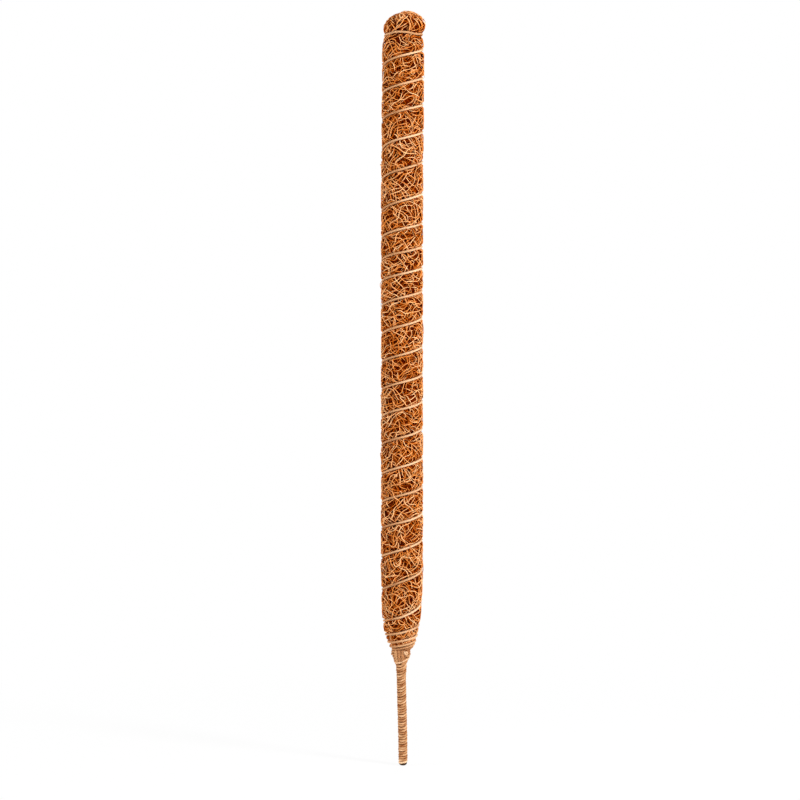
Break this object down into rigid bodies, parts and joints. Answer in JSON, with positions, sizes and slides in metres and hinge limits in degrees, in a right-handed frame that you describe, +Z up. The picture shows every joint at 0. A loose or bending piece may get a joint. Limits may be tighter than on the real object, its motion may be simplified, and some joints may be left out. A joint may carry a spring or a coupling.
{
  "type": "coir plant pole",
  "caption": "Straight plant support pole: curled coir bound by a spiral of twine over a wire core, with a tied crown, a knotted neck and a twine-wound stake with a rounded tip cap.",
  "frame": {"origin": "centre of the flat end of the tip cap, at the lower end of the stake", "axes": "+Z up along the pole to the crown; -Y is the front of the picture, +X its right; the neck knot is at the front, a little to the right"},
  "size_m": [0.05, 0.05, 0.9],
  "materials": {
    "coir": "curled coconut fibre, matte",
    "twine": "two-ply plant twine, matte",
    "iron_wire": "soft annealed wire",
    "tip_plastic": "moulded, dull"
  },
  "bodies": {
    "root": {"core_wire_centre": "iron_wire", "core_wire_1": "iron_wire", "core_wire_2": "iron_wire", "core_wire_3": "iron_wire", "core_wire_4": "iron_wire", "core_wire_5": "iron_wire", "core_wire_6": "iron_wire", "tip_cap": "tip_plastic", "stake_whipping": "twine", "coir_packing": "coir", "coir_layer": "coir", "coir_crown": "coir", "lashing_twine": "twine", "top_tie": "twine", "neck_whipping": "twine", "hitch_strand_1": "twine", "hitch_strand_2": "twine", "hitch_strand_3": "twine", "neck_knot": "twine"}
  },
  "joints": []
}
